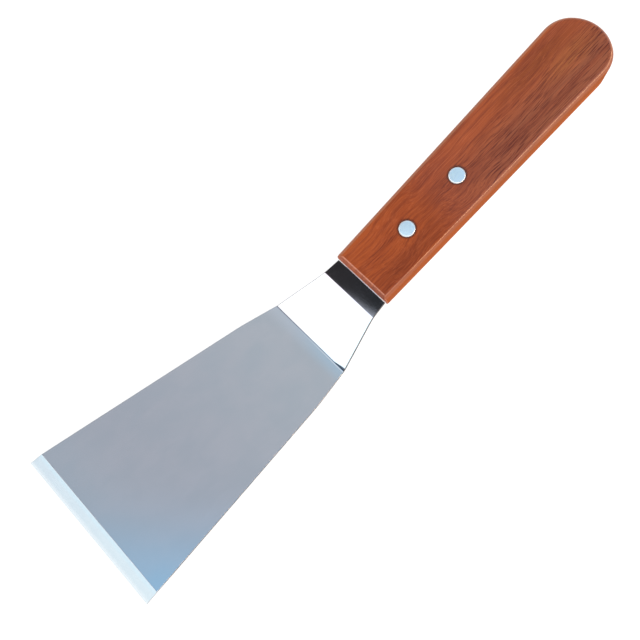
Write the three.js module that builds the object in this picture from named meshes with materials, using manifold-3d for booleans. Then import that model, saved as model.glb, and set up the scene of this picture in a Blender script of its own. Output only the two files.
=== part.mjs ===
// A cranked scraper: one bent steel sheet held between two wooden handle halves by two-piece rivets.
// Millimetres, +Z up. The blade lies flat on z = 0, +X runs from the cutting edge to the handle's butt,
// and the origin ends up at the centre of the bounding box's bottom face.
import * as THREE from "three";
import { mergeVertices } from "three/addons/utils/BufferGeometryUtils.js";
import Module from "manifold-3d";

// ---- Driving dimensions -------------------------------------------------------------------------------

// Steel sheet. Lengths run along the sheet's mid-plane, from one bend corner to the next.
const SHEET = 1.8; // thickness
const EDGE_WIDTH = 57; // across the cutting edge
const HEEL_WIDTH = 41; // across the heel's start
const ROOT_WIDTH = 36; // across the crease where the heel ends and the neck starts
const NECK_END_WIDTH = 25; // across the soft bend at the neck's upper end
const COLLAR_SETBACK = 0.4; // how far the bare steel stays inside the wood's front width, on each side
const BLADE_LENGTH = 97.5;
const HEEL_LENGTH = 16; // the blade's last stretch, where its sides draw in faster
const NECK_LENGTH = 21.7;
const COLLAR_LENGTH = 7.5;
const BEVEL_LENGTH = 4.1; // ground on the top face
const EDGE_LAND = 0.3; // what the bevel leaves at the cutting edge
const NECK_PITCH = THREE.MathUtils.degToRad(37);
const HANDLE_PITCH = THREE.MathUtils.degToRad(30);
const ROOT_BEND_RADIUS = 1; // inside the bend
const NECK_BEND_RADIUS = 10; // inside the bend

// Tang, hidden in the handle.
const TANG_WIDTH = 15.5;
const TANG_TAIL = 8; // how far it runs on behind the rear rivet's axis
const TANG_END_RADIUS = 4;

// Handle halves. The widths are those of the straight sides, run on to the front and to the butt.
const HANDLE_LENGTH = 119.8;
const HANDLE_FRONT_WIDTH = 24.4;
const HANDLE_BUTT_WIDTH = 27;
const HANDLE_THICKNESS = 12;
const EDGE_ROUND = 2; // eased edge round the outer faces
const FRONT_CORNER = 0.9; // radius of the front corners, seen from above
const BUTT_CORNER_OFFSET = 2.6; // from the axis to the centre of each of the butt's two round corners
const BUTT_FLATTENING = 4.3; // how much larger the radius of the butt's end is than that of its corners

// Two-piece rivets, flush with the wood's outer faces.
const RIVET_PLACES = { front: 24.3, rear: 49.8 }; // from the wood's front face
const RIVET_HEAD_DIAMETER = 6.2;
const RIVET_HEAD_THICKNESS = 1.1;
const RIVET_HEAD_CHAMFER = 0.2;
const RIVET_TUBE_DIAMETER = 4.4;
const RIVET_TUBE_WALL = 0.7;

// Clearances.
const GLUE_GAP = 0.3; // between the handle halves
const TANG_GAP = 0.3; // round the tang in its pocket, and from the wood's front to the shoulders
const RIVET_GAP = 0.3; // round the heads and tubes, and round the pin in its tube

// Facets.
const ROOT_BEND_STEPS = 6;
const NECK_BEND_STEPS = 3;
const CORNER_STEPS = 4;
const BUTT_CORNER_STEPS = 10;
const BUTT_END_STEPS = 6;
const EDGE_ROUND_STEPS = 5;
const ROUND_STEPS = 32; // of a whole turn
const CUT_MARGIN = 5; // how far a cutter runs past what it cuts
const SHARP = 0.05; // radius of a corner that the eased edge has eaten up

// What fits to those.
const COLLAR_WIDTH = HANDLE_FRONT_WIDTH - 2 * COLLAR_SETBACK; // the bare steel where it meets the wood
const TANG_LENGTH = RIVET_PLACES.rear + TANG_TAIL; // from the wood's front face
const SHOULDER_FILLET = TANG_GAP; // round the pocket's edge, at the same distance all the way

// ---- Solids -------------------------------------------------------------------------------------------

const wasm = await Module();
wasm.setup();

function toSolid(geometry) {
  const bare = geometry.clone();
  bare.deleteAttribute("normal");
  bare.deleteAttribute("uv");
  const merged = mergeVertices(bare, 1e-4);
  return new wasm.Manifold(
    new wasm.Mesh({
      numProp: 3,
      vertProperties: new Float32Array(merged.attributes.position.array),
      triVerts: new Uint32Array(merged.index.array),
    }),
  );
}

function toGeometry(solid) {
  const mesh = solid.getMesh();
  const geometry = new THREE.BufferGeometry();
  geometry.setAttribute("position", new THREE.BufferAttribute(mesh.vertProperties, 3));
  geometry.setIndex(new THREE.BufferAttribute(mesh.triVerts, 1));
  geometry.computeVertexNormals();
  return geometry;
}

// A flat shape made into a plate that spans the heights from bottom to top.
function plate(shape, bottom, top) {
  const geometry = new THREE.ExtrudeGeometry(shape, {
    depth: top - bottom,
    bevelEnabled: false,
    curveSegments: CORNER_STEPS,
  });
  return geometry.translate(0, 0, bottom);
}

// A drill that spans the heights from bottom to top, standing on its place along the handle.
function drill(radius, place, bottom, top) {
  return new THREE.CylinderGeometry(radius, radius, top - bottom, ROUND_STEPS)
    .rotateX(Math.PI / 2)
    .translate(place, 0, (bottom + top) / 2);
}

// A closed skin through sections that have the same number of points, each a ring of Vector3 that runs
// anticlockwise seen from the far end. Outline is one section as flat points, to fill the two ends with.
function loft(sections, outline) {
  const count = outline.length;
  const positions = sections.flat().flatMap((point) => point.toArray());
  const ends = THREE.ShapeUtils.triangulateShape(outline, []);
  const last = count * (sections.length - 1);
  const faces = ends.flatMap(([a, b, c]) => [a, c, b, last + a, last + b, last + c]);
  for (let ring = 0; ring < last; ring += count) {
    for (let i = 0; i < count; i++) {
      const a = ring + i;
      const b = ring + ((i + 1) % count);
      faces.push(a, b, b + count, a, b + count, a + count);
    }
  }
  const geometry = new THREE.BufferGeometry();
  geometry.setAttribute("position", new THREE.Float32BufferAttribute(positions, 3));
  geometry.setIndex(faces);
  return geometry;
}

// Points of an arc, both ends included.
function arc(x, y, radius, from, to, steps) {
  return Array.from({ length: steps + 1 }, (_, i) => {
    const angle = from + ((to - from) * i) / steps;
    return new THREE.Vector2(x + radius * Math.cos(angle), y + radius * Math.sin(angle));
  });
}

// A profile of [radius, height] points turned about Z.
function turned(profile) {
  const points = profile.map(([radius, height]) => new THREE.Vector2(radius, height));
  return new THREE.LatheGeometry(points, ROUND_STEPS).rotateX(Math.PI / 2);
}

// ---- Materials ----------------------------------------------------------------------------------------

const steel = new THREE.MeshStandardMaterial({ color: 0xa0a8b4, roughness: 0.28, metalness: 1 });
const wood = new THREE.MeshStandardMaterial({ color: 0x9e5032, roughness: 0.42, metalness: 0 });
const rivetMetal = new THREE.MeshStandardMaterial({ color: 0xc4d4e2, roughness: 0.3, metalness: 1 });

function named(name, geometry, material) {
  const mesh = new THREE.Mesh(geometry, material.clone());
  mesh.name = name;
  return mesh;
}

// ---- The steel sheet's run ----------------------------------------------------------------------------

// The legs of the mid-plane, with the sheet's width at the end of each and the mid-plane's bend radius there.
const legs = [
  { length: BLADE_LENGTH - HEEL_LENGTH, pitch: 0, endWidth: HEEL_WIDTH },
  {
    length: HEEL_LENGTH,
    pitch: 0,
    endWidth: ROOT_WIDTH,
    bend: ROOT_BEND_RADIUS + SHEET / 2,
    steps: ROOT_BEND_STEPS,
  },
  {
    length: NECK_LENGTH,
    pitch: NECK_PITCH,
    endWidth: NECK_END_WIDTH,
    bend: NECK_BEND_RADIUS + SHEET / 2,
    steps: NECK_BEND_STEPS,
  },
  { length: COLLAR_LENGTH, pitch: HANDLE_PITCH, endWidth: COLLAR_WIDTH },
  { length: TANG_LENGTH + CUT_MARGIN, pitch: HANDLE_PITCH, endWidth: COLLAR_WIDTH },
];

function along(pitch) {
  return new THREE.Vector3(Math.cos(pitch), 0, Math.sin(pitch));
}

// Adds each leg's start and end corner, and its width at the start.
function withCorners(bareLegs) {
  let corner = new THREE.Vector3(0, 0, SHEET / 2);
  let width = EDGE_WIDTH;
  return bareLegs.map((leg) => {
    const start = corner;
    const startWidth = width;
    corner = corner.clone().addScaledVector(along(leg.pitch), leg.length);
    width = leg.endWidth;
    return { ...leg, start, end: corner, startWidth };
  });
}

const [bladeLeg, heelLeg, neckLeg, collarLeg, tangLeg] = withCorners(legs);

// A cross-section of the sheet: a point of the mid-plane, the sheet's pitch there, its width,
// and how far the top face stands off the mid-plane. Changes replace what a straight leg gives.
function station(leg, distance, changes = {}) {
  const width = THREE.MathUtils.lerp(leg.startWidth, leg.endWidth, distance / leg.length);
  const centre = leg.start.clone().addScaledVector(along(leg.pitch), distance);
  return { centre, pitch: leg.pitch, width, rise: SHEET / 2, ...changes };
}

// The stations round the bend between a leg and the next one.
function bendStations(leg, next) {
  const turn = next.pitch - leg.pitch;
  const reach = leg.bend * Math.tan(Math.abs(turn) / 2);
  const side = Math.sign(turn);
  const pivot = leg.end
    .clone()
    .addScaledVector(along(leg.pitch), -reach)
    .addScaledVector(along(leg.pitch + Math.PI / 2), side * leg.bend);
  const stations = [];
  for (let i = 0; i <= leg.steps; i++) {
    const share = i / leg.steps;
    const pitch = leg.pitch + turn * share;
    const centre = pivot.clone().addScaledVector(along(pitch - (side * Math.PI) / 2), leg.bend);
    const past = reach * (2 * share - 1);
    const [on, distance] = past <= 0 ? [leg, leg.length + past] : [next, past];
    stations.push(station(on, distance, { pitch, centre }));
  }
  return stations;
}

const stations = [
  station(bladeLeg, 0, { rise: EDGE_LAND - SHEET / 2 }),
  station(bladeLeg, BEVEL_LENGTH),
  station(bladeLeg, bladeLeg.length),
  ...bendStations(heelLeg, neckLeg),
  ...bendStations(neckLeg, collarLeg),
  station(collarLeg, collarLeg.length),
  station(tangLeg, tangLeg.length),
];

// The corners of the sheet's rectangular section: x is the share of the width, y is 0 on the underside
// and 1 on the top face.
const sheetOutline = [[0.5, 0], [0.5, 1], [-0.5, 1], [-0.5, 0]].map(([x, y]) => new THREE.Vector2(x, y));

function sheetSection({ centre, pitch, width, rise }) {
  const normal = along(pitch + Math.PI / 2);
  return sheetOutline.map(({ x, y }) => {
    const corner = centre.clone().addScaledVector(normal, y ? rise : -SHEET / 2);
    return corner.setY(x * width);
  });
}

// ---- The tang's outline, in the handle's own frame ----------------------------------------------------
// Along the handle X starts at the wood's front face, and z = 0 is the sheet's mid-plane.

// The tang's outline, open in front, grown by a clearance.
function tangShape(clearance, front) {
  const half = TANG_WIDTH / 2 + clearance;
  const end = TANG_LENGTH + clearance;
  const radius = TANG_END_RADIUS + clearance;
  const shape = new THREE.Shape();
  shape.moveTo(front, -half);
  shape.lineTo(end - radius, -half);
  shape.absarc(end - radius, -half + radius, radius, -Math.PI / 2, 0, false);
  shape.absarc(end - radius, half - radius, radius, 0, Math.PI / 2, false);
  shape.lineTo(front, half);
  shape.closePath();
  return shape;
}

// What is cut away round the tang: all of the sheet behind the shoulders but the tang itself.
function tangTrimShape() {
  const half = TANG_WIDTH / 2;
  const shoulder = -TANG_GAP;
  const outside = COLLAR_WIDTH / 2 + CUT_MARGIN;
  const back = TANG_LENGTH + 2 * CUT_MARGIN;
  const endStart = TANG_LENGTH - TANG_END_RADIUS;
  const inset = half - TANG_END_RADIUS;
  const filletSide = half + SHOULDER_FILLET;
  const filletX = shoulder + SHOULDER_FILLET;
  const shape = new THREE.Shape();
  shape.moveTo(shoulder, outside);
  shape.lineTo(shoulder, filletSide);
  shape.absarc(filletX, filletSide, SHOULDER_FILLET, Math.PI, 1.5 * Math.PI, false);
  shape.lineTo(endStart, half);
  shape.absarc(endStart, inset, TANG_END_RADIUS, Math.PI / 2, 0, true);
  shape.absarc(endStart, -inset, TANG_END_RADIUS, 0, -Math.PI / 2, true);
  shape.lineTo(filletX, -half);
  shape.absarc(filletX, -filletSide, SHOULDER_FILLET, Math.PI / 2, Math.PI, false);
  shape.lineTo(shoulder, -outside);
  shape.lineTo(back, -outside);
  shape.lineTo(back, outside);
  shape.closePath();
  return shape;
}

// ---- Sub-parts ----------------------------------------------------------------------------------------

const handle = new THREE.Group();
handle.position.copy(collarLeg.end);
handle.rotation.y = -HANDLE_PITCH;
handle.updateMatrix();

function makeBlade() {
  const holeRadius = RIVET_TUBE_DIAMETER / 2 + RIVET_GAP;
  const cutters = [plate(tangTrimShape(), -SHEET - CUT_MARGIN, SHEET + CUT_MARGIN)];
  for (const place of Object.values(RIVET_PLACES)) {
    cutters.push(drill(holeRadius, place, -SHEET - CUT_MARGIN, SHEET + CUT_MARGIN));
  }
  let solid = toSolid(loft(stations.map(sheetSection), sheetOutline));
  for (const cutter of cutters) {
    solid = solid.subtract(toSolid(cutter.applyMatrix4(handle.matrix)));
  }
  return named("blade", toGeometry(solid), steel);
}

// The handle's outline seen from above, drawn in by an inset: square front with small corners, straight
// flaring sides, and a butt of two round corners and a flatter arc. Every inset gives as many points.
function handleOutline(inset) {
  const half = HANDLE_FRONT_WIDTH / 2;
  const flare = Math.atan((HANDLE_BUTT_WIDTH - HANDLE_FRONT_WIDTH) / 2 / HANDLE_LENGTH);
  const slope = Math.tan(flare);

  // The corners touch the sides from inside, and the end arc touches both corners and the butt's end.
  const centresApart = Math.sqrt(BUTT_FLATTENING ** 2 - BUTT_CORNER_OFFSET ** 2);
  const setback = BUTT_FLATTENING - centresApart;
  const halfAtEnd = half + slope * (HANDLE_LENGTH - setback);
  const corner = (halfAtEnd - BUTT_CORNER_OFFSET) / (slope + 1 / Math.cos(flare));
  const cornerX = HANDLE_LENGTH - setback - corner;
  const endRadius = corner + BUTT_FLATTENING;
  const endX = HANDLE_LENGTH - endRadius;
  const endAngle = Math.atan2(BUTT_CORNER_OFFSET, centresApart);

  const front = Math.max(FRONT_CORNER, inset + SHARP);
  const frontY = half + slope * front - front / Math.cos(flare);
  const side = Math.PI / 2 + flare;
  return [
    ...arc(front, -frontY, front - inset, -Math.PI, -side, CORNER_STEPS),
    ...arc(cornerX, -BUTT_CORNER_OFFSET, corner - inset, -side, -endAngle, BUTT_CORNER_STEPS),
    ...arc(endX, 0, endRadius - inset, -endAngle, endAngle, BUTT_END_STEPS).slice(1, -1),
    ...arc(cornerX, BUTT_CORNER_OFFSET, corner - inset, endAngle, side, BUTT_CORNER_STEPS),
    ...arc(front, frontY, front - inset, side, Math.PI, CORNER_STEPS),
  ];
}

// One handle half, lying above the mid-plane: a block with an eased upper edge, with half of the tang's
// pocket and the stepped rivet holes.
function makeHandleHalf() {
  const face = HANDLE_THICKNESS / 2;
  const levels = [{ inset: 0, height: GLUE_GAP / 2 }];
  for (let i = 0; i <= EDGE_ROUND_STEPS; i++) {
    const angle = (Math.PI / 2) * (i / EDGE_ROUND_STEPS);
    levels.push({
      inset: EDGE_ROUND * (1 - Math.cos(angle)),
      height: face - EDGE_ROUND * (1 - Math.sin(angle)),
    });
  }
  const sections = levels.map(({ inset, height }) =>
    handleOutline(inset).map(({ x, y }) => new THREE.Vector3(x, y, height)),
  );
  let solid = toSolid(loft(sections, handleOutline(0)));

  const pocket = SHEET / 2 + TANG_GAP;
  const seat = face - RIVET_HEAD_THICKNESS - RIVET_GAP;
  const cutters = [plate(tangShape(TANG_GAP, -CUT_MARGIN), -pocket, pocket)];
  for (const place of Object.values(RIVET_PLACES)) {
    cutters.push(drill(RIVET_TUBE_DIAMETER / 2 + RIVET_GAP, place, -CUT_MARGIN, face + CUT_MARGIN));
    cutters.push(drill(RIVET_HEAD_DIAMETER / 2 + RIVET_GAP, place, seat, face + CUT_MARGIN));
  }
  for (const cutter of cutters) solid = solid.subtract(toSolid(cutter));
  return toGeometry(solid);
}

// The rivet half with the tube: its head is flush with the upper face, and its blind bore opens downwards.
function makeTubeRivet(name, place) {
  const top = HANDLE_THICKNESS / 2;
  const underHead = top - RIVET_HEAD_THICKNESS;
  const head = RIVET_HEAD_DIAMETER / 2;
  const tube = RIVET_TUBE_DIAMETER / 2;
  const bore = tube - RIVET_TUBE_WALL;
  const mouth = -(underHead - RIVET_GAP);
  const profile = [
    [0, underHead],
    [bore, underHead],
    [bore, mouth],
    [tube, mouth],
    [tube, underHead],
    [head, underHead],
    [head, top - RIVET_HEAD_CHAMFER],
    [head - RIVET_HEAD_CHAMFER, top],
    [0, top],
  ];
  const mesh = named(name, turned(profile), rivetMetal);
  mesh.position.x = place;
  return mesh;
}

// The rivet half with the pin: its head is flush with the lower face, and the pin stands in the tube.
function makePinRivet(name, place) {
  const bottom = -HANDLE_THICKNESS / 2;
  const overHead = bottom + RIVET_HEAD_THICKNESS;
  const head = RIVET_HEAD_DIAMETER / 2;
  const pin = RIVET_TUBE_DIAMETER / 2 - RIVET_TUBE_WALL - RIVET_GAP;
  const tip = -overHead - RIVET_GAP;
  const profile = [
    [0, bottom],
    [head - RIVET_HEAD_CHAMFER, bottom],
    [head, bottom + RIVET_HEAD_CHAMFER],
    [head, overHead],
    [pin, overHead],
    [pin, tip],
    [0, tip],
  ];
  const mesh = named(name, turned(profile), rivetMetal);
  mesh.position.x = place;
  return mesh;
}

// ---- Assembly -----------------------------------------------------------------------------------------

// The two halves are the same piece, and the lower one is turned over.
const halfGeometry = makeHandleHalf();
const upperHalf = named("handle_half_upper", halfGeometry, wood);
const lowerHalf = named("handle_half_lower", halfGeometry, wood);
lowerHalf.rotation.x = Math.PI;
handle.add(upperHalf, lowerHalf);
for (const [where, place] of Object.entries(RIVET_PLACES)) {
  handle.add(makeTubeRivet(`rivet_${where}_tube`, place), makePinRivet(`rivet_${where}_pin`, place));
}

const tool = new THREE.Group();
tool.add(makeBlade(), handle);

// The tool is shifted along X so that the origin is at the centre of its box's bottom face.
const box = new THREE.Box3().setFromObject(tool, true);
tool.position.set(-(box.min.x + box.max.x) / 2, 0, -box.min.z);

const root = new THREE.Group();
root.add(tool);

export default root;
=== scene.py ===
import math

import bmesh
import bpy
from mathutils import Matrix, Vector


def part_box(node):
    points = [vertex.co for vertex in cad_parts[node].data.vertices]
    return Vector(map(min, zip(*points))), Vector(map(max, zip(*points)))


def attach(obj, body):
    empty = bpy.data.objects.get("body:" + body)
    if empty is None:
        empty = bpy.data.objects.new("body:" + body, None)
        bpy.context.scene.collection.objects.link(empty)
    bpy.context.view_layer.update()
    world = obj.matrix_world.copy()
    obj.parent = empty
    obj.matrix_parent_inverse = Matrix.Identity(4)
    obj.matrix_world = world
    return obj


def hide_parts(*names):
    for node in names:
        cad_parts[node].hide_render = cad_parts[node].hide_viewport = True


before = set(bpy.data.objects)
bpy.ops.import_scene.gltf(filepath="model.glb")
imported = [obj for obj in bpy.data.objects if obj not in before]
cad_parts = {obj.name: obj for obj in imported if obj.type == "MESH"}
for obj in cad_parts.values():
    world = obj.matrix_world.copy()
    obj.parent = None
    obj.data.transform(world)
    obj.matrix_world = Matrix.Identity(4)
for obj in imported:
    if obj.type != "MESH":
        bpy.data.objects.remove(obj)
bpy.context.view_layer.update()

# ---- Sizes of the frame, repeated ---------------------------------------------------------------------

# Steel sheet. Lengths run along its mid-plane, from one bend corner to the next.
SHEET = 0.0018
EDGE_WIDTH = 0.057
HEEL_WIDTH = 0.041
ROOT_WIDTH = 0.036
NECK_END_WIDTH = 0.025
COLLAR_WIDTH = 0.0236
BLADE_LENGTH = 0.0975
HEEL_LENGTH = 0.016
NECK_LENGTH = 0.0217
COLLAR_LENGTH = 0.0075
BEVEL_LENGTH = 0.0041
EDGE_LAND = 0.0003
NECK_PITCH = math.radians(37)
HANDLE_PITCH = math.radians(30)
ROOT_BEND_RADIUS = 0.0015 + SHEET / 2  # at the mid-plane
NECK_BEND_RADIUS = 0.010 + SHEET / 2  # at the mid-plane

# Tang and handle, along the handle from the wood's front face.
TANG_WIDTH = 0.0155
TANG_LENGTH = 0.0578
TANG_END_RADIUS = 0.004
HANDLE_LENGTH = 0.1198
HANDLE_FRONT_WIDTH = 0.0244
HANDLE_BUTT_WIDTH = 0.027
HANDLE_THICKNESS = 0.012
EDGE_ROUND = 0.002
FRONT_CORNER = 0.0009
BUTT_CORNER_OFFSET = 0.0026
BUTT_FLATTENING = 0.0043

# Two-piece rivets.
RIVET_PLACES = {"front": 0.0243, "rear": 0.0498}
HEAD_RADIUS = 0.0031
HEAD_THICKNESS = 0.0011
TUBE_RADIUS = 0.0022
TUBE_WALL = 0.0007

# ---- Sizes that only the looks have -------------------------------------------------------------------

SHEET_CORNER = 0.0002  # radius that deburring leaves along the sheet's edges
CREASE_EASE = 0.00006  # half the width of the bevel's softened upper border
SIDE_EASE = 0.0022  # half the length over which the sheet's sides turn at a corner
SHOULDER_GAP = 0.0001  # from the tang's shoulders to the wood's front
SHOULDER_SLOPE = 0.00005
TANG_GAP = 0.0001  # round the tang in its pocket
SEAM_GAP = 0.00005  # glue line between the handle halves
SEAM_ROUND = 0.0001
HEAD_GAP = 0.00009  # round the rivet heads
HOLE_GAP = 0.00015  # round the rivet tubes
HEAD_DOME = 0.00012  # how far a head's middle stands above its rim
HEAD_RIM = 0.0005  # radius of a head's rolled rim
RIM_TURN = math.radians(78)  # how much of a quarter turn the rim's arc takes
TUBE_LEAD = 0.0002  # chamfer at the tube's mouth
PIN_LEAD = 0.0004  # chamfer at the pin's tip
TANG_END_TURN = math.radians(88)  # of the quarter turn at each of the tang's end corners
HOLE_EASE = 0.00015  # worn edge of the wood round a head
CUT_MARGIN = 0.005
SHARP = 0.00005

ROOT_BEND_STEPS = 20
NECK_BEND_STEPS = 16
SIDE_EASE_STEPS = 8
TANG_END_STEPS = 8
CORNER_STEPS = 4
BUTT_CORNER_STEPS = 28
BUTT_END_STEPS = 16
EDGE_ROUND_STEPS = 12
TURN_STEPS = 96
SHARP_ANGLE = math.radians(38)
DOME_STEPS = 6
RIM_STEPS = 8
MERGE_DISTANCE = 1e-7

# A blade's face is sheared steel if the y of its normal is larger than this, in front of the root crease
# and behind it. It is the ground bevel if it leans towards the cutting edge by more than BEVEL_LEAN.
SHEARED_ON_BLADE = 0.2
SHEARED_ON_NECK = 0.1
BEVEL_LEAN = 0.2

# ---- Mesh helpers -------------------------------------------------------------------------------------


def spread(start, end, steps):
    """Evenly spaced values from start to end, both included."""
    return [start + (end - start) * i / steps for i in range(steps + 1)]


def arc(x, y, radius, start, end, steps):
    """Points of an arc, both ends included."""
    return [(x + radius * math.cos(a), y + radius * math.sin(a)) for a in spread(start, end, steps)]


def new_piece(name, points, faces):
    """A closed mesh object with its faces pointing out."""
    mesh = bpy.data.meshes.new(name)
    mesh.from_pydata([tuple(p) for p in points], [], faces)
    solid = bmesh.new()
    solid.from_mesh(mesh)
    bmesh.ops.remove_doubles(solid, verts=solid.verts, dist=MERGE_DISTANCE)
    bmesh.ops.recalc_face_normals(solid, faces=solid.faces)
    solid.to_mesh(mesh)
    solid.free()
    piece = bpy.data.objects.new(name, mesh)
    bpy.context.scene.collection.objects.link(piece)
    return piece


def loft(name, rings):
    """A closed skin through rings that have the same number of points, with a flat face at each end."""
    count = len(rings[0])
    points = [p for ring in rings for p in ring]
    last = count * (len(rings) - 1)
    faces = [tuple(range(count)), tuple(range(last, last + count))]
    for start in range(0, last, count):
        for i in range(count):
            j = (i + 1) % count
            faces.append((start + i, start + j, start + j + count, start + i + count))
    return new_piece(name, points, faces)


def turned(name, profile, place=0.0):
    """A profile of (radius, height) points turned about an axis parallel to Z. Its ends are on the axis."""
    inner = profile[1:-1]
    points = [(place, 0.0, profile[0][1]), (place, 0.0, profile[-1][1])]
    for step in range(TURN_STEPS):
        turn = 2 * math.pi * step / TURN_STEPS
        points += [(place + r * math.cos(turn), r * math.sin(turn), z) for r, z in inner]
    count = len(inner)
    faces = []
    for step in range(TURN_STEPS):
        here = 2 + step * count
        there = 2 + (step + 1) % TURN_STEPS * count
        faces.append((0, here, there))
        faces.append((1, here + count - 1, there + count - 1))
        for i in range(count - 1):
            faces.append((here + i, here + i + 1, there + i + 1, there + i))
    return new_piece(name, points, faces)


def plate(name, outline, bottom, top):
    """A flat outline of (x, y) points made into a plate."""
    return loft(name, [[(x, y, z) for x, y in outline] for z in (bottom, top)])


def apply_modifiers(piece):
    bpy.context.view_layer.update()
    evaluated = piece.evaluated_get(bpy.context.evaluated_depsgraph_get())
    mesh = bpy.data.meshes.new_from_object(evaluated)
    piece.modifiers.clear()
    piece.data = mesh


def cut(piece, cutters):
    """Takes the cutters away from the piece, and removes them."""
    for cutter in cutters:
        modifier = piece.modifiers.new("cut", "BOOLEAN")
        modifier.operation = "DIFFERENCE"
        modifier.solver = "EXACT"
        modifier.object = cutter
    apply_modifiers(piece)
    for cutter in cutters:
        bpy.data.objects.remove(cutter)


def shade(piece):
    """Smooth shading that keeps flat faces flat and corners crisp."""
    mesh = piece.data
    mesh.polygons.foreach_set("use_smooth", [True] * len(mesh.polygons))
    mesh.set_sharp_from_angle(angle=SHARP_ANGLE)
    modifier = piece.modifiers.new("flat_faces", "WEIGHTED_NORMAL")
    modifier.keep_sharp = True
    apply_modifiers(piece)


# ---- The steel sheet's run ----------------------------------------------------------------------------

EDGE_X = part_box("blade")[0].x  # where the cutting edge is
ROOT_AT = BLADE_LENGTH
NECK_END_AT = ROOT_AT + NECK_LENGTH
WOOD_AT = NECK_END_AT + COLLAR_LENGTH
CREASE_X = EDGE_X + BLADE_LENGTH  # where the root crease is
CREASE_HALF = ROOT_WIDTH / 2


def along(pitch):
    return Vector((math.cos(pitch), 0.0, math.sin(pitch)))


ROOT_CORNER = Vector((CREASE_X, 0.0, SHEET / 2))
NECK_CORNER = ROOT_CORNER + along(NECK_PITCH) * NECK_LENGTH
WOOD_FRONT = NECK_CORNER + along(HANDLE_PITCH) * COLLAR_LENGTH
HANDLE_PLACE = Matrix.Translation(WOOD_FRONT) @ Matrix.Rotation(-HANDLE_PITCH, 4, "Y")

# Each bend: where its corner is along the sheet and in space, the pitch before and after, the radius.
BENDS = [
    (ROOT_AT, ROOT_CORNER, 0.0, NECK_PITCH, ROOT_BEND_RADIUS),
    (NECK_END_AT, NECK_CORNER, NECK_PITCH, HANDLE_PITCH, NECK_BEND_RADIUS),
]
REACHES = [radius * math.tan(abs(after - before) / 2) for _, _, before, after, radius in BENDS]


def place_on_sheet(distance):
    """The mid-plane's point and pitch at a distance from the cutting edge."""
    point = Vector((EDGE_X + distance, 0.0, SHEET / 2))
    pitch = 0.0
    for (corner_at, corner, before, after, radius), reach in zip(BENDS, REACHES):
        past = distance - corner_at
        if past >= reach:
            point = corner + along(after) * past
            pitch = after
        elif past > -reach:
            side = math.copysign(1.0, after - before)
            pivot = corner - along(before) * reach + along(before + math.pi / 2) * side * radius
            pitch = before + (after - before) * (past + reach) / (2 * reach)
            point = pivot + along(pitch - side * math.pi / 2) * radius
    return point, pitch


SIDE_CORNERS = [
    (0.0, EDGE_WIDTH),
    (ROOT_AT - HEEL_LENGTH, HEEL_WIDTH),
    (ROOT_AT, ROOT_WIDTH),
    (NECK_END_AT, NECK_END_WIDTH),
    (WOOD_AT, COLLAR_WIDTH),
]


def straight_width(distance):
    for (start, start_width), (end, end_width) in zip(SIDE_CORNERS, SIDE_CORNERS[1:]):
        if distance <= end:
            break
    return start_width + (end_width - start_width) * (distance - start) / (end - start)


def eased_width(distance):
    """The width with the sides' corners rounded: the mean over a stretch to either side."""
    ease = min(SIDE_EASE, WOOD_AT - distance)
    nearby = spread(distance - ease, distance + ease, SIDE_EASE_STEPS)
    return sum(straight_width(d) for d in nearby) / len(nearby)


def sheet_ring(distance, width, rise=SHEET / 2):
    """A cross-section of the sheet, as a ring with rounded corners. Rise is its top above the mid-plane."""
    centre, pitch = place_on_sheet(distance)
    normal = along(pitch + math.pi / 2)
    side = width / 2 - SHEET_CORNER
    low = -SHEET / 2 + SHEET_CORNER
    high = rise - SHEET_CORNER
    ring = []
    for x, y, start in ((side, high, 0), (-side, high, 1), (-side, low, 2), (side, low, 3)):
        ring += arc(x, y, SHEET_CORNER, start * math.pi / 2, (start + 1) * math.pi / 2, CORNER_STEPS)
    return [centre + normal * up + Vector((0.0, across, 0.0)) for across, up in ring]


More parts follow.
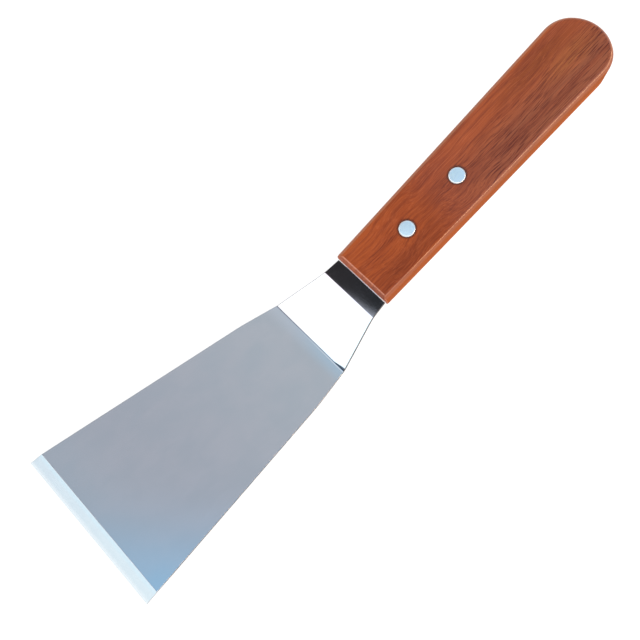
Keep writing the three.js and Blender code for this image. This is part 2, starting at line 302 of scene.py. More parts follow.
def make_blade():
    marks = [BEVEL_LENGTH + CREASE_EASE, WOOD_AT - SHOULDER_GAP]
    for (corner_at, *_), reach, steps in zip(BENDS, REACHES, (ROOT_BEND_STEPS, NECK_BEND_STEPS)):
        marks += spread(corner_at - reach, corner_at + reach, steps)
    for corner_at, _ in SIDE_CORNERS[1:-1]:
        marks += spread(corner_at - 2 * SIDE_EASE, corner_at + 2 * SIDE_EASE, 2 * SIDE_EASE_STEPS)

    bevel_slope = (SHEET - EDGE_LAND) / BEVEL_LENGTH
    rings = []
    for distance in (0.0, BEVEL_LENGTH - CREASE_EASE):
        rise = -SHEET / 2 + EDGE_LAND + bevel_slope * distance
        rings.append(sheet_ring(distance, straight_width(distance), rise))
    rings += [sheet_ring(distance, eased_width(distance)) for distance in sorted(marks)]

    shoulder = WOOD_AT - SHOULDER_GAP + SHOULDER_SLOPE
    end = WOOD_AT + TANG_LENGTH
    rings.append(sheet_ring(shoulder, TANG_WIDTH))
    for angle in spread(0.0, TANG_END_TURN, TANG_END_STEPS):
        narrowing = 2 * TANG_END_RADIUS * (1 - math.cos(angle))
        distance = end - TANG_END_RADIUS * (1 - math.sin(angle))
        rings.append(sheet_ring(distance, TANG_WIDTH - narrowing))
    blade = loft("steel_blade", rings)

    drills = []
    for where, place in RIVET_PLACES.items():
        radius = TUBE_RADIUS + HOLE_GAP
        profile = [(0, -CUT_MARGIN), (radius, -CUT_MARGIN), (radius, CUT_MARGIN), (0, CUT_MARGIN)]
        drill = turned("drill_" + where, profile, place)
        drill.matrix_world = HANDLE_PLACE
        drills.append(drill)
    cut(blade, drills)

    blade.data.materials.clear()
    for material in (steel_material(), bevel_material(), sheared_material()):
        blade.data.materials.append(material)
    for face in blade.data.polygons:
        in_bevel = face.center.x < EDGE_X + BEVEL_LENGTH
        ground = in_bevel and face.normal.z > 0 and face.normal.x < -BEVEL_LEAN
        limit = SHEARED_ON_NECK if face.center.x > CREASE_X else SHEARED_ON_BLADE
        sheared = abs(face.normal.y) > limit
        face.material_index = 2 if sheared else int(ground)
    shade(blade)
    return blade


# ---- Handle and rivets, in the handle's own frame -------------------------------------------------------
# X runs along the handle from the wood's front face, and z = 0 is the tang's mid-plane.


def handle_outline(inset):
    """The handle seen from above, drawn in by an inset."""
    half = HANDLE_FRONT_WIDTH / 2
    flare = math.atan((HANDLE_BUTT_WIDTH - HANDLE_FRONT_WIDTH) / 2 / HANDLE_LENGTH)
    slope = math.tan(flare)

    centres_apart = math.sqrt(BUTT_FLATTENING**2 - BUTT_CORNER_OFFSET**2)
    setback = BUTT_FLATTENING - centres_apart
    half_at_end = half + slope * (HANDLE_LENGTH - setback)
    corner = (half_at_end - BUTT_CORNER_OFFSET) / (slope + 1 / math.cos(flare))
    corner_x = HANDLE_LENGTH - setback - corner
    end_radius = corner + BUTT_FLATTENING
    end_x = HANDLE_LENGTH - end_radius
    end_angle = math.atan2(BUTT_CORNER_OFFSET, centres_apart)

    front = max(FRONT_CORNER, inset + SHARP)
    front_y = half + slope * front - front / math.cos(flare)
    side = math.pi / 2 + flare
    off = BUTT_CORNER_OFFSET
    return [
        *arc(front, -front_y, front - inset, -math.pi, -side, CORNER_STEPS),
        *arc(corner_x, -off, corner - inset, -side, -end_angle, BUTT_CORNER_STEPS),
        *arc(end_x, 0.0, end_radius - inset, -end_angle, end_angle, BUTT_END_STEPS)[1:-1],
        *arc(corner_x, off, corner - inset, end_angle, side, BUTT_CORNER_STEPS),
        *arc(front, front_y, front - inset, side, math.pi, CORNER_STEPS),
    ]


def pocket_outline():
    """The tang's pocket, open in front."""
    half = TANG_WIDTH / 2 + TANG_GAP
    end = TANG_LENGTH + TANG_GAP
    radius = TANG_END_RADIUS + TANG_GAP
    return [
        (-CUT_MARGIN, -half),
        *arc(end - radius, -half + radius, radius, -math.pi / 2, 0.0, TANG_END_STEPS),
        *arc(end - radius, half - radius, radius, 0.0, math.pi / 2, TANG_END_STEPS),
        (-CUT_MARGIN, half),
    ]


def make_handle_half(name):
    """One half, lying above the mid-plane."""
    face = HANDLE_THICKNESS / 2
    levels = [(SEAM_ROUND * (1 - math.sin(a)), SEAM_GAP + SEAM_ROUND * (1 - math.cos(a)))
              for a in spread(0.0, math.pi / 2, CORNER_STEPS)]
    levels += [(EDGE_ROUND * (1 - math.cos(a)), face - EDGE_ROUND * (1 - math.sin(a)))
               for a in spread(0.0, math.pi / 2, EDGE_ROUND_STEPS)]
    half = loft(name, [[(x, y, z) for x, y in handle_outline(inset)] for inset, z in levels])

    depth = SHEET / 2 + TANG_GAP
    cutters = [plate("pocket", pocket_outline(), -depth, depth)]
    seat = face - HEAD_THICKNESS - HEAD_GAP
    head = HEAD_RADIUS + HEAD_GAP
    tube = TUBE_RADIUS + HOLE_GAP
    over = face + CUT_MARGIN
    for where, place in RIVET_PLACES.items():
        profile = [
            (0, -CUT_MARGIN),
            (tube, -CUT_MARGIN),
            (tube, seat),
            (head, seat),
            (head, face - HOLE_EASE),
            (head + HOLE_EASE, face + SHARP),
            (head + HOLE_EASE, over),
            (0, over),
        ]
        cutters.append(turned("bore_" + where, profile, place))
    cut(half, cutters)
    return half


def head_profile(face):
    """From the axis over a head's domed face and round its rolled rim, to the underside of the rim."""
    rim_start = HEAD_RADIUS - HEAD_RIM
    dome = []
    for radius in spread(0.0, rim_start, DOME_STEPS):
        dome.append((radius, face + HEAD_DOME * (0.5 - (radius / HEAD_RADIUS) ** 2)))
    drop = dome[-1][1] - HEAD_RIM
    rim = [(x, drop + y) for x, y in arc(rim_start, 0.0, HEAD_RIM, RIM_TURN, 0.0, RIM_STEPS)]
    return dome + rim


def make_tube_rivet(name, place):
    """The rivet half with the tube. Its bore opens downwards."""
    face = HANDLE_THICKNESS / 2
    under_head = face - HEAD_THICKNESS
    bore = TUBE_RADIUS - TUBE_WALL
    mouth = -(under_head - HOLE_GAP)
    lead = TUBE_LEAD
    profile = head_profile(face) + [
        (HEAD_RADIUS, under_head),
        (TUBE_RADIUS, under_head),
        (TUBE_RADIUS, mouth + lead),
        (TUBE_RADIUS - lead, mouth),
        (bore + lead, mouth),
        (bore, mouth + lead),
        (bore, under_head),
        (0.0, under_head),
    ]
    return turned(name, profile, place)


def make_pin_rivet(name, place):
    """The rivet half with the pin, made head up as the tube half is, and turned over when it is placed."""
    face = HANDLE_THICKNESS / 2
    under_head = face - HEAD_THICKNESS
    pin = TUBE_RADIUS - TUBE_WALL - HOLE_GAP
    tip = -(under_head - HOLE_GAP)
    lead = PIN_LEAD
    profile = head_profile(face) + [
        (HEAD_RADIUS, under_head),
        (pin, under_head),
        (pin, tip + lead),
        (pin - lead, tip),
        (0.0, tip),
    ]
    return turned(name, profile, place)


# ---- Materials ----------------------------------------------------------------------------------------


class Shader:
    """A material's node tree. A call adds a node, and gives back its first output."""

    def __init__(self, name):
        self.material = bpy.data.materials.new(name)
        self.material.use_nodes = True
        self.tree = self.material.node_tree
        self.tree.nodes.clear()

    def add(self, kind, output=0, settings=None, **inputs):
        """Inputs are named by their socket, or in0, in1 and so on by their place."""
        node = self.tree.nodes.new("ShaderNode" + kind)
        for key, value in (settings or {}).items():
            setattr(node, key, value)
        for key, value in inputs.items():
            by_place = key.startswith("in") and key[2:].isdigit()
            socket = node.inputs[int(key[2:])] if by_place else node.inputs[key.replace("_", " ")]
            if isinstance(value, bpy.types.NodeSocket):
                self.tree.links.new(value, socket)
            else:
                socket.default_value = value
        return node.outputs[output] if node.outputs else None

    def stretched(self, vector, scale, turn=0.0):
        """Coordinates in millimetres, divided by a grain size along each axis."""
        per_metre = [1000.0 / size for size in scale]
        return self.add("Mapping", Vector=vector, Rotation=(0.0, 0.0, turn), Scale=per_metre)

    def noise(self, vector, detail, roughness=0.5):
        return self.add("TexNoise", Vector=vector, Scale=1.0, Detail=detail, Roughness=roughness)

    def ramp(self, value, low, high, to_low=0.0, to_high=1.0):
        """A smooth step from to_low at low to to_high at high. It falls if low is the larger."""
        settings = {"interpolation_type": "SMOOTHSTEP", "clamp": True}
        return self.add("MapRange", settings=settings, in0=value, in1=low, in2=high, in3=to_low, in4=to_high)

    def math(self, operation, first, second=0.0):
        return self.add("Math", settings={"operation": operation}, in0=first, in1=second)

    def mix(self, share, first, second):
        return self.add("Mix", output=2, settings={"data_type": "RGBA"}, in0=share, in6=first, in7=second)

    def mix_values(self, share, first, second):
        return self.add("Mix", settings={"data_type": "FLOAT"}, in0=share, in2=first, in3=second)

    def times(self, first, second):
        return self.math("MULTIPLY", first, second)

    def vector(self, operation, first, second, output=0):
        return self.add("VectorMath", settings={"operation": operation}, output=output, in0=first, in1=second)

    def place(self):
        return self.add("TexCoord", output=3)

    def parts(self, vector, *outputs):
        """Parts of a vector: 0, 1 and 2 are its x, y and z."""
        return [self.add("SeparateXYZ", output=i, Vector=vector) for i in outputs]

    def bump(self, height, distance, strength):
        return self.add("Bump", Height=height, Distance=distance, Strength=strength)

    def finish(self, **surface):
        shader = self.add("BsdfPrincipled", **surface)
        self.add("OutputMaterial", Surface=shader)
        return self.material


# Colours of the steel. Those of the crease are painted light: a painted bluish reflection, a painted
# highlight and painted shade.
STEEL_TINTS = (0.60, 0.62, 0.635, 1), (0.64, 0.64, 0.65, 1)
CREASE_REFLECTION_TINTS = (0.68, 0.70, 0.73, 1), (0.58, 0.70, 0.78, 1)
CREASE_HIGHLIGHT = (0.98, 1.0, 1.0, 1)
CREASE_PAINTED_SHADE = (0.03, 0.045, 0.07, 1)

# Along the tool, from the crease.
REFLECTION_TINT_REACH = 0.007, 0.0005  # the painted bluish reflection grows between these distances in front of it
# The painted highlight in front of the crease: where it runs, and its half widths.
HIGHLIGHT_AT = 0.0006  # in front of it
HIGHLIGHT_HALF = 0.0001, 0.00028
# The painted shade in the crease: where it starts.
WEDGE_AT = 0.0002  # in front of it
WEDGE_REACH = 0.00014, 0.00102  # at the narrow and wide ends of the painted shade's wedge
ROUGH_AT = 0.00016  # in front of it
ROUGH_HALF = 0.00015, 0.00045


def crease_painted_light(shader, color, x, y):
    """Painted light along the root crease: a painted bluish reflection and a painted highlight before it, and
    painted shade as a dark line that widens at -y.
    """
    right = shader.ramp(y, 0.8 * CREASE_HALF, -0.8 * CREASE_HALF)
    # Painted reflection: the steel lighter and bluer towards the crease and towards -y.
    before = shader.ramp(x, CREASE_X - REFLECTION_TINT_REACH[0], CREASE_X - REFLECTION_TINT_REACH[1])
    reflection_tinted = shader.mix(before, color, shader.mix(right, *CREASE_REFLECTION_TINTS))

    # Painted highlight: a bright line just in front of the crease, stronger towards -y.
    away = shader.math("ABSOLUTE", shader.math("SUBTRACT", x, CREASE_X - HIGHLIGHT_AT))
    highlight_share = shader.times(shader.ramp(away, HIGHLIGHT_HALF[1], HIGHLIGHT_HALF[0]), right)
    bright = shader.mix(highlight_share, reflection_tinted, CREASE_HIGHLIGHT)

    # Painted shade: a dark line in the crease that widens into a wedge at -y.
    wedge = shader.ramp(y, -0.6 * CREASE_HALF, -1.05 * CREASE_HALF)
    reach = shader.ramp(wedge, 0.0, 1.0, *WEDGE_REACH)
    start = shader.math("SUBTRACT", x, CREASE_X - WEDGE_AT)
    past = shader.math("DIVIDE", start, reach)
    mark = shader.times(shader.ramp(start, -WEDGE_AT, 0.0), shader.ramp(past, 1.0, 0.6))
    depth = shader.ramp(wedge, 0.0, 0.3, 0.4, 0.97)
    return shader.mix(shader.times(mark, depth), bright, CREASE_PAINTED_SHADE)


def steel_roughness(shader, x, clouds, lines):
    """Satin on the blade, smoother up the neck where the sheet is drawn, and rougher at the crease."""
    drawn = shader.ramp(x, CREASE_X, CREASE_X + 0.7 * NECK_LENGTH, 1.0, 0.3)
    cloudy = shader.times(shader.ramp(clouds, 0.25, 0.75, 0.13, 0.17), drawn)
    away = shader.math("ABSOLUTE", shader.math("SUBTRACT", x, CREASE_X - ROUGH_AT))
    creased = shader.math("ADD", cloudy, shader.ramp(away, ROUGH_HALF[1], ROUGH_HALF[0], 0.0, 0.10))
    return shader.math("ADD", creased, shader.ramp(lines, 0.3, 0.7, -0.02, 0.03))


def steel_material():
    """Hardened sheet with a fine satin finish: hair-thin lines along the tool, and a faint cloudiness."""
    shader = Shader("satin_steel")
    place = shader.place()
    x, y = shader.parts(place, 0, 1)
    lines = shader.noise(shader.stretched(place, (9.0, 0.09, 0.09)), detail=4, roughness=0.6)
    clouds = shader.noise(shader.stretched(place, (14.0, 9.0, 9.0)), detail=3, roughness=0.55)
    tint = shader.mix(shader.ramp(clouds, 0.3, 0.7), *STEEL_TINTS)
    streaks = shader.ramp(lines, 0.25, 0.75, 0.98, 1.02)
    sheet = shader.add("VectorMath", settings={"operation": "SCALE"}, in0=tint, in3=streaks)
    # The crease gets painted reflection, painted highlight and painted shade.
    color = crease_painted_light(shader, sheet, x, y)
    rough = steel_roughness(shader, x, clouds, lines)
    normal = shader.bump(lines, 0.000002, 0.35)
    return shader.finish(Base_Color=color, Metallic=1.0, Roughness=rough, Normal=normal)


# The bevel's tints: its uneven tone, and a painted reflection that is lighter and bluer towards -y.
BEVEL_TINTS = (0.362, 0.425, 0.475, 1), (0.395, 0.465, 0.502, 1)
BEVEL_LINES = (0.46, 0.53, 0.57, 1)
BEVEL_BORDER = (0.37, 0.48, 0.54, 1)
BEVEL_WORN = (0.51, 0.55, 0.57, 1)


def bevel_material():
    """The ground bevel: coarser lines, straight across the edge, with wear that makes it bright along the
    cutting edge, and a painted reflection that makes it lighter and bluer towards -y.
    """
    shader = Shader("ground_bevel")
    place = shader.place()
    x, y = shader.parts(place, 0, 1)
    lines = shader.noise(shader.stretched(place, (6.0, 0.12, 6.0)), detail=5, roughness=0.65)
    broad = shader.noise(shader.stretched(place, (8.0, 5.0, 8.0)), detail=2)
    # Painted reflection: the bevel lighter and bluer towards -y.
    painted_reflection_ramp = shader.ramp(y, EDGE_WIDTH / 2, -EDGE_WIDTH / 2)
    uneven = shader.ramp(broad, 0.35, 0.65, 0.0, 0.3)
    shift = shader.math("ADD", uneven, shader.times(painted_reflection_ramp, 0.7))
    tint = shader.mix(shift, *BEVEL_TINTS)
    lined = shader.mix(shader.ramp(lines, 0.35, 0.7, 0.0, 0.3), tint, BEVEL_LINES)
    upper = shader.ramp(x, EDGE_X + 0.6 * BEVEL_LENGTH, EDGE_X + 0.9 * BEVEL_LENGTH)
    bordered = shader.mix(shader.times(upper, 0.6), lined, BEVEL_BORDER)
    wear_and_painted_light = shader.ramp(x, EDGE_X + 0.35 * BEVEL_LENGTH, EDGE_X, 0.0, 0.7)
    color = shader.mix(wear_and_painted_light, bordered, BEVEL_WORN)
    rough = shader.ramp(lines, 0.3, 0.7, 0.17, 0.24)
    normal = shader.bump(lines, 0.000003, 0.25)
    return shader.finish(Base_Color=color, Metallic=1.0, Roughness=rough, Normal=normal)


SHEARED_DULLS = (0.07, 0.071, 0.072, 1), (0.11, 0.111, 0.112, 1)
SHEARED_TEARS = (0.18, 0.181, 0.182, 1)
SHEARED_AT_EDGE = (0.62, 0.66, 0.70, 1)


def sheared_material():
    """The sheet's sheared sides: dull dark steel, torn across its thickness, and bright near the edge."""
    shader = Shader("sheared_steel")
    place = shader.place()
    tears = shader.noise(shader.stretched(place, (0.10, 0.6, 0.9)), detail=5, roughness=0.65)
    patches = shader.noise(shader.stretched(place, (6.0, 3.0, 3.0)), detail=2)
    dull = shader.mix(shader.ramp(patches, 0.3, 0.7), *SHEARED_DULLS)
    torn = shader.mix(shader.ramp(tears, 0.40, 0.70, 0.0, 0.5), dull, SHEARED_TEARS)
    (x,) = shader.parts(place, 0)
    near_edge = shader.ramp(x, EDGE_X + 3 * BEVEL_LENGTH, EDGE_X, 0.0, 0.9)
    color = shader.mix(near_edge, torn, SHEARED_AT_EDGE)
    rough = shader.ramp(tears, 0.3, 0.7, 0.38, 0.52)
    normal = shader.bump(tears, 0.00001, 0.6)
    return shader.finish(Base_Color=color, Metallic=1.0, Roughness=rough, Normal=normal)


RIVET_TINTS = (0.60, 0.83, 0.99, 1), (0.70, 0.93, 1.0, 1)
RIVET_RIM = (0.97, 0.99, 1.0, 1)
RIM_ROUGHNESS = 0.16


def rivet_material():
    """Aluminium with the pits and scuffs of a pressed head, and a rim that is polished by use."""
    shader = Shader("rivet_aluminium")
    place = shader.place()
    pits = shader.noise(shader.stretched(place, (0.25, 0.25, 0.25)), detail=5, roughness=0.7)
    across = shader.stretched(place, (1.6, 0.12, 1.6), turn=0.6)
    scuffs = shader.noise(across, detail=4, roughness=0.6)
    tint = shader.mix(shader.ramp(scuffs, 0.35, 0.7), *RIVET_TINTS)
    satin = shader.ramp(pits, 0.3, 0.7, 0.36, 0.50)
    (facing,) = shader.parts(shader.add("TexCoord", output=1), 2)
    polished = shader.ramp(facing, 0.996, 0.96)
    color = shader.mix(polished, tint, RIVET_RIM)
    rough = shader.mix_values(polished, satin, RIM_ROUGHNESS)
    fine = shader.math("ADD", shader.times(pits, 0.5), shader.times(scuffs, 0.5))
    normal = shader.bump(fine, 0.000012, 0.6)
    return shader.finish(Base_Color=color, Metallic=0.7, Roughness=rough, Normal=normal)


GRAIN_TURN = math.radians(5)  # the grain runs a little askew to the handle
GRAIN_SWAY = 0.010, 0.004  # how far it sways, at the front and at the rear

ORANGE = (0.402, 0.092, 0.029, 1)
RED_BROWN = (0.335, 0.075, 0.028, 1)
LOW_SIDE = (0.25, 0.055, 0.022, 1)
# Painted sheen of the lacquer, laid on the rear.
PAINTED_SHEEN = (0.250, 0.086, 0.046, 1)
DARK_BAND = (0.19, 0.040, 0.020, 1)
PALE_FIBRE = (0.54, 0.150, 0.060, 1)
DARK_STREAK = (0.125, 0.030, 0.019, 1)
# Painted light: the sides and eased edges, lighter and more orange than the top.
SIDES_PAINTED_LIGHT = (0.41, 0.125, 0.042, 1)
# Painted highlight along each side's top edge.
SIDE_HIGHLIGHT = (0.60, 0.22, 0.08, 1)
# Painted highlight along the front's top edge, and a pale line along its lower edge.
FRONT_HIGHLIGHT_AND_PALE_LINE = (0.74, 0.34, 0.22, 1)
RIVET_RING_DARK = (0.07, 0.022, 0.015, 1)
RING_REACH = 0.0001, 0.0009  # beyond a head: where the darkening is full, and where it has faded

# Broad patches of the wood's figure: the place of each along and across the handle, its reach, its colour.
PATCHES = [
    ((0.097, 0.0068), (0.032, 0.0066), (0.19, 0.050, 0.016, 1)),
    ((0.106, -0.0005), (0.018, 0.0060), (0.36, 0.118, 0.036, 1)),
    ((0.100, 0.0128), (0.028, 0.0024), (0.55, 0.120, 0.014, 1)),
    ((0.015, -0.0078), (0.018, 0.0036), (0.21, 0.047, 0.020, 1)),
    ((0.040, 0.0010), (0.016, 0.0050), (0.25, 0.056, 0.022, 1)),
]
PATCH_SHARE = 0.65


class Wood:
    """A wood shader, with the places, the ways that a face looks and the patterns that its parts share."""

    def __init__(self, name, seed):
        shader = Shader(name)
        self.shader = shader
        self.place = shader.place()
        self.moved = shader.vector("ADD", self.place, (seed, seed / 3, seed / 7))
        self.x, self.y = shader.parts(self.place, 0, 1)
        self.ahead, self.across, self.facing = shader.parts(shader.add("TexCoord", output=1), 0, 1, 2)
        self.rear = self.down_handle(0.25, 0.6)

        grain = self.swaying()
        self.zones = self.pattern(self.moved, (34.0, 11.0, 11.0), 2, 0.5)
        self.fibre = self.pattern(grain, (11.0, 0.24, 0.28), 5, 0.6)
        self.bands = self.pattern(grain, (26.0, 1.3, 1.6), 3, 0.5)
        self.dashes = self.pattern(grain, (8.0, 0.34, 0.4), 3, 0.5)

    def down_handle(self, start, end, *values):
        """A ramp between two places along the handle, as shares of its length."""
        return self.shader.ramp(self.x, start * HANDLE_LENGTH, end * HANDLE_LENGTH, *values)

    def swaying(self):
        """Coordinates that run along the grain, which sways a little down the handle."""
        shader = self.shader
        drift = shader.noise(shader.stretched(self.moved, (30.0, 16.0, 16.0)), detail=2)
        most = self.down_handle(0.3, 0.6, *GRAIN_SWAY)
        sway = shader.times(shader.math("SUBTRACT", drift, 0.5), most)
        bent = shader.add("CombineXYZ", X=0.0, Y=sway, Z=shader.times(sway, 0.6))
        return shader.vector("ADD", self.moved, bent)

    def pattern(self, vector, scale, detail, roughness):
        stretched = self.shader.stretched(vector, scale, GRAIN_TURN)
        return self.shader.noise(stretched, detail=detail, roughness=roughness)


def wood_zones(wood):
    """Warm zones, darker down the lower side in front, and a painted sheen at the rear, greyer and pinker
    towards -y.
    """
    shader = wood.shader
    warm = shader.mix(shader.ramp(wood.zones, 0.38, 0.62), RED_BROWN, ORANGE)
    low = shader.times(shader.ramp(wood.y, 0.004, -0.010), wood.down_handle(0.6, 0.3))
    shaded = shader.mix(shader.times(low, 0.55), warm, LOW_SIDE)
    # Painted sheen: greyer and pinker at the rear, most towards -y.
    sheen_share = shader.times(wood.rear, shader.ramp(wood.y, 0.008, -0.006, 0.08, 0.85))
    return shader.mix(sheen_share, shaded, PAINTED_SHEEN)


def patched(wood, color):
    """The colour with the broad patches laid over it, one after the other."""
    shader = wood.shader
    for (x, y), (length, width), patch in PATCHES:
        moved = shader.vector("SUBTRACT", wood.place, (x, y, 0.0))
        scaled = shader.vector("MULTIPLY", moved, (1 / length, 1 / width, 0.0))
        apart = shader.add("VectorMath", settings={"operation": "LENGTH"}, output=1, in0=scaled)
        color = shader.mix(shader.ramp(apart, 1.0, 0.1, 0.0, PATCH_SHARE), color, patch)
    return color


def wood_streaks(wood):
    """How strong the short dark streaks are. They stand in crowds, more at the rear and on the lower side."""
    shader = wood.shader
    zoned = shader.ramp(wood.zones, 0.56, 0.40, 0.3, 0.8)
    crowds = shader.math("ADD", zoned, shader.times(wood.rear, 0.35))
    sparse = shader.times(crowds, shader.ramp(wood.y, 0.007, -0.001, 0.35, 1.1))
    return shader.times(shader.ramp(wood.dashes, 0.50, 0.62), sparse)


def painted_edge_light(wood, color):
    """The colour with painted light on the edges: the sides and eased edges painted lighter, a warm painted
    highlight along each side's top edge, and at the front a painted highlight along the top edge and a pale
    line along the lower edge.
    """
    shader = wood.shader
    # Painted light: the sides and eased edges painted lighter and more orange than the top.
    turned_away = shader.ramp(wood.facing, 0.985, 0.80, 0.0, 0.55)
    eased = shader.mix(shader.times(turned_away, shader.ramp(wood.ahead, -0.3, 0.0)), color, SIDES_PAINTED_LIGHT)

    # Painted highlight: an orange line along the top edge of each side.
    aside = shader.math("ABSOLUTE", wood.across)
    side_highlight_line = shader.times(shader.ramp(aside, 0.26, 0.38), shader.ramp(aside, 0.54, 0.42))
    side_highlighted = shader.mix(shader.times(side_highlight_line, 0.4), eased, SIDE_HIGHLIGHT)

    ahead = wood.ahead
    # Painted highlight along the front's top edge, and a pale line along the front face's lower edge.
    front_highlight_line = shader.times(shader.ramp(ahead, -0.02, -0.14), shader.ramp(ahead, -0.42, -0.18))
    lower_line = shader.times(shader.ramp(ahead, -0.88, -0.95), shader.ramp(ahead, -0.9998, -0.998))
    lines = shader.math("ADD", front_highlight_line, lower_line)
    front_highlight_and_pale_line = shader.times(lines, shader.ramp(wood.fibre, 0.35, 0.60, 0.35, 0.75))
    return shader.mix(front_highlight_and_pale_line, side_highlighted, FRONT_HIGHLIGHT_AND_PALE_LINE)


def rivet_dark_ring(wood):
    """How much darker the wood is made round the rivet heads."""
    shader = wood.shader
    full, faded = (HEAD_RADIUS + reach for reach in RING_REACH)
    flat = shader.vector("MULTIPLY", wood.place, (1.0, 1.0, 0.0))
    rings = []
    for distance in RIVET_PLACES.values():
        apart = shader.vector("DISTANCE", flat, (distance, 0.0, 0.0), output=1)
        rings.append(shader.ramp(apart, faded, full))
    return shader.math("MAXIMUM", *rings)


def lacquer(wood):
    """The lacquer's weight: full on the eased edges and in front, less on top, none on the sides."""
    shader = wood.shader
    top = shader.ramp(wood.facing, 0.30, 0.75)
    open_side = shader.math("MAXIMUM", top, shader.ramp(wood.ahead, -0.5, -0.8))
    return shader.times(open_side, shader.ramp(wood.facing, 0.995, 0.93, 0.36, 1.0))


def wood_material(name, seed):
    """Lacquered red-brown hardwood: broad warm zones, fine fibres, and short dark streaks in crowds."""
    wood = Wood(name, seed)
    shader = wood.shader
    figure = patched(wood, wood_zones(wood))
    banded = shader.mix(shader.ramp(wood.bands, 0.36, 0.60, 0.48, 0.0), figure, DARK_BAND)
    fibres = shader.mix(shader.ramp(wood.fibre, 0.45, 0.70, 0.0, 0.42), banded, PALE_FIBRE)
    streaks = wood_streaks(wood)
    # Painted light on the edges: lighter sides and painted highlight lines, with a pale line at the front's
    # lower edge.
    wear_and_painted_light = painted_edge_light(wood, shader.mix(streaks, fibres, DARK_STREAK))
    color = shader.mix(shader.times(rivet_dark_ring(wood), 0.7), wear_and_painted_light, RIVET_RING_DARK)

    relief = shader.math("SUBTRACT", shader.times(wood.fibre, 0.25), streaks)
    normal = shader.bump(relief, 0.00002, 0.4)
    swell = shader.noise(shader.stretched(wood.moved, (16.0, 7.0, 7.0)), detail=1)
    swollen = shader.bump(swell, 0.00005, 0.5)
    rough = shader.ramp(wood.fibre, 0.3, 0.7, 0.55, 0.68)
    return shader.finish(Base_Color=color, Roughness=rough, Normal=normal, Specular_IOR_Level=0.0,
                         Coat_Weight=lacquer(wood), Coat_Roughness=0.07, Coat_Normal=swollen)


# ---- Stage --------------------------------------------------------------------------------------------

# The camera, from the middle of the cutting edge, and turned about X, Y and Z.
CAMERA_FROM_EDGE = Vector((0.0115, -0.04175, 0.19557))
CAMERA_TURN = [math.radians(a) for a in (26.60, -9.95, -45.67)]
CAMERA_LENS = 32.39  # millimetres, on a sensor 36 wide
CAMERA_CLIP = 0.01
FLOOR_SIZE = 12.0
FLOOR_DROP = 0.00003
FLOOR_GREY = (0.30, 0.30, 0.30, 1)
FLOOR_GLOW = 0.84
WORLD_GLOW = 0.95
WHITE = (1, 1, 1, 1)

# The studio's panels hang at one height and share their reach in y. These are their borders in x.
CEILING = 0.9
PANEL_REACH = -0.9, 1.3
DIFFUSER_END = 1.1
DIFFUSER_START = -0.28
SOFTBOX_END = -0.70
SOFTBOX_START = -1.25
FAR_FLAG_START = -1.9
SOFTBOX_GLOW = 1.95
FAR_FLAG_GLOW = 0.02

# The diffuser's cloth, from near the softbox to the handle's end, and its tone in one corner.
CLOTH_NEAR = (0.565, 0.645, 0.750, 1)
CLOTH_MIDDLE = (0.568, 0.605, 0.693, 1)
CLOTH_FAR = (0.625, 0.683, 0.757, 1)
CLOTH_CORNER = (0.43, 0.83, 1.22, 1)

# The softbox's spill on the near flag grows between two places, at a slant to the panels.
SPILL_FROM = -0.463
SPILL_TO = -0.535
SPILL_SLANT = 0.205
SPILL_GLOW = 0.033, 1.9
SPILL_COLOR = (1, 0.90, 0.96, 1)

# The bar of light: straight from BAR_START, then round its centre.
BAR_START = -0.34
BAR_CENTRE = (0.10, 0.25)
BAR_RADIUS = 1.065
BAR_WIDTH = 0.23
BAR_END_TURN = math.radians(-38)
BAR_STEPS = 12
BAR_DROP = 0.03  # below the panels
BAR_COLOR = (1, 0.66, 0.43, 1)
BAR_GLOW = 10.5


def make_camera():
    camera = bpy.data.objects.new("camera", bpy.data.cameras.new("camera"))
    bpy.context.scene.collection.objects.link(camera)
    camera.location = Vector((EDGE_X, 0.0, 0.0)) + CAMERA_FROM_EDGE
    camera.rotation_euler = CAMERA_TURN
    camera.data.lens = CAMERA_LENS
    camera.data.clip_start = CAMERA_CLIP
    bpy.context.scene.camera = camera


def rectangle(name, low, high, height):
    """A flat stage panel between two (x, y) corners."""
    corners = [(low[0], low[1]), (high[0], low[1]), (high[0], high[1]), (low[0], high[1])]
    mesh = bpy.data.meshes.new(name)
    mesh.from_pydata([(x, y, height) for x, y in corners], [], [(0, 1, 2, 3)])
    panel = bpy.data.objects.new(name, mesh)
    bpy.context.scene.collection.objects.link(panel)
    return panel


def glowing(name, color, strength):
    shader = Shader(name)
    glow = shader.add("Emission", Color=color, Strength=strength)
    shader.add("OutputMaterial", Surface=glow)
    return shader.material


def make_floor():
    half = FLOOR_SIZE / 2
    floor = rectangle("floor", (-half, -half), (half, half), -FLOOR_DROP)
    shader = Shader("pale_floor")
    floor.data.materials.append(
        shader.finish(Base_Color=FLOOR_GREY, Roughness=0.9, Specular_IOR_Level=0.1,
                      Emission_Color=WHITE, Emission_Strength=FLOOR_GLOW)
    )


def overhead(name, start, end, material):
    """A panel from one x to another."""
    low, high = PANEL_REACH
    panel = rectangle(name, (start, low), (end, high), CEILING)
    panel.data.materials.append(material)


def cloth_shader(name):
    """A glowing cloth's shader, with its x and y in the studio."""
    shader = Shader(name)
    return shader, *shader.parts(shader.place(), 0, 1)


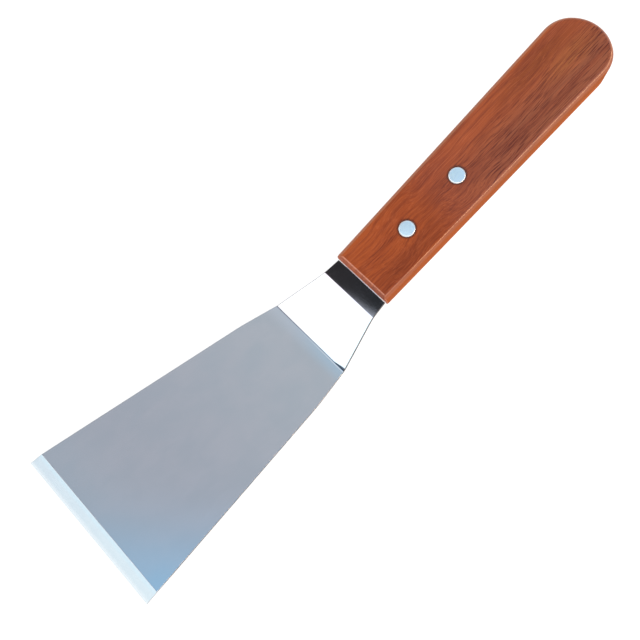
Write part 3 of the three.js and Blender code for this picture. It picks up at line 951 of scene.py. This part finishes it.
def diffuser_material():
    """Grey-blue cloth, bluer towards one corner, brighter at the handle's end and dark at the flag's."""
    shader, x, y = cloth_shader("grey_blue_cloth")
    far = shader.mix(shader.ramp(x, -0.05, 0.40), CLOTH_MIDDLE, CLOTH_FAR)
    cloth = shader.mix(shader.ramp(x, -0.15, -0.06), CLOTH_NEAR, far)
    in_cloth = shader.ramp(shader.math("ADD", x, y), -0.21, 0.12)
    tone = shader.mix(in_cloth, CLOTH_CORNER, cloth)
    glow = shader.add("Emission", Color=tone, Strength=shader.ramp(x, DIFFUSER_START, -0.20, 0.03, 1.0))
    shader.add("OutputMaterial", Surface=glow)
    return shader.material


def flag_material():
    """Black cloth that the softbox lights a little at its border, further in towards -y."""
    shader, x, y = cloth_shader("black_cloth")
    across = shader.math("ADD", x, shader.times(y, SPILL_SLANT))
    spill = shader.ramp(across, SPILL_FROM, SPILL_TO, *SPILL_GLOW)
    glow = shader.add("Emission", Color=SPILL_COLOR, Strength=spill)
    shader.add("OutputMaterial", Surface=glow)
    return shader.material


def make_bar(material):
    """A bar of light beside the tool, straight along the handle and then curving round the butt."""
    edges = []
    for radius in (BAR_RADIUS - BAR_WIDTH / 2, BAR_RADIUS + BAR_WIDTH / 2):
        bend = arc(*BAR_CENTRE, radius, -math.pi / 2, BAR_END_TURN, BAR_STEPS)
        edges.append([(BAR_START, BAR_CENTRE[1] - radius), *bend])
    inner, outer = edges
    count = len(inner)
    points = [(x, y, CEILING - BAR_DROP) for x, y in inner + outer]
    faces = [(i, i + 1, count + i + 1, count + i) for i in range(count - 1)]
    mesh = bpy.data.meshes.new("light_bar")
    mesh.from_pydata(points, [], faces)
    mesh.materials.append(material)
    bar = bpy.data.objects.new("light_bar", mesh)
    bpy.context.scene.collection.objects.link(bar)


def make_panels():
    """Overhead in a row: diffuser, near flag, softbox and far flag. A bar of light hangs a little lower."""
    softbox = glowing("white_cloth", WHITE, SOFTBOX_GLOW)
    far_flag = glowing("far_cloth", WHITE, FAR_FLAG_GLOW)
    overhead("overhead_diffuser", DIFFUSER_START, DIFFUSER_END, diffuser_material())
    overhead("near_flag", SOFTBOX_END, DIFFUSER_START, flag_material())
    overhead("softbox", SOFTBOX_START, SOFTBOX_END, softbox)
    overhead("far_flag", FAR_FLAG_START, SOFTBOX_START, far_flag)
    make_bar(glowing("bar_cloth", BAR_COLOR, BAR_GLOW))


def make_world():
    world = bpy.data.worlds.new("pale_room")
    world.use_nodes = True
    background = world.node_tree.nodes["Background"]
    background.inputs["Color"].default_value = WHITE
    background.inputs["Strength"].default_value = WORLD_GLOW
    bpy.context.scene.world = world
    bpy.context.scene.view_settings.view_transform = "Standard"


# ---- Assembly -----------------------------------------------------------------------------------------

UPPER_SEED = 0.31  # metres by which the wood's figure is moved, so that the halves differ
LOWER_SEED = 0.57


def add_piece(piece, node):
    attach(piece, "root")
    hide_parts(node)


make_camera()
make_floor()
make_panels()
make_world()

add_piece(make_blade(), "blade")

TURNED_OVER = HANDLE_PLACE @ Matrix.Rotation(math.pi, 4, "X")
for name, node, place, seed in (
    ("upper_half", "handle_half_upper", HANDLE_PLACE, UPPER_SEED),
    ("lower_half", "handle_half_lower", TURNED_OVER, LOWER_SEED),
):
    half = make_handle_half(name)
    half.data.materials.clear()
    half.data.materials.append(wood_material(name + "_wood", seed))
    shade(half)
    half.matrix_world = place
    add_piece(half, node)

aluminium = rivet_material()
for where, distance in RIVET_PLACES.items():
    for kind, make, place in (
        ("tube", make_tube_rivet, HANDLE_PLACE),
        ("pin", make_pin_rivet, TURNED_OVER),
    ):
        rivet = make(f"{where}_rivet_{kind}", distance)
        rivet.data.materials.append(aluminium)
        shade(rivet)
        rivet.matrix_world = place
        add_piece(rivet, f"rivet_{where}_{kind}")

bpy.context.view_layer.update()
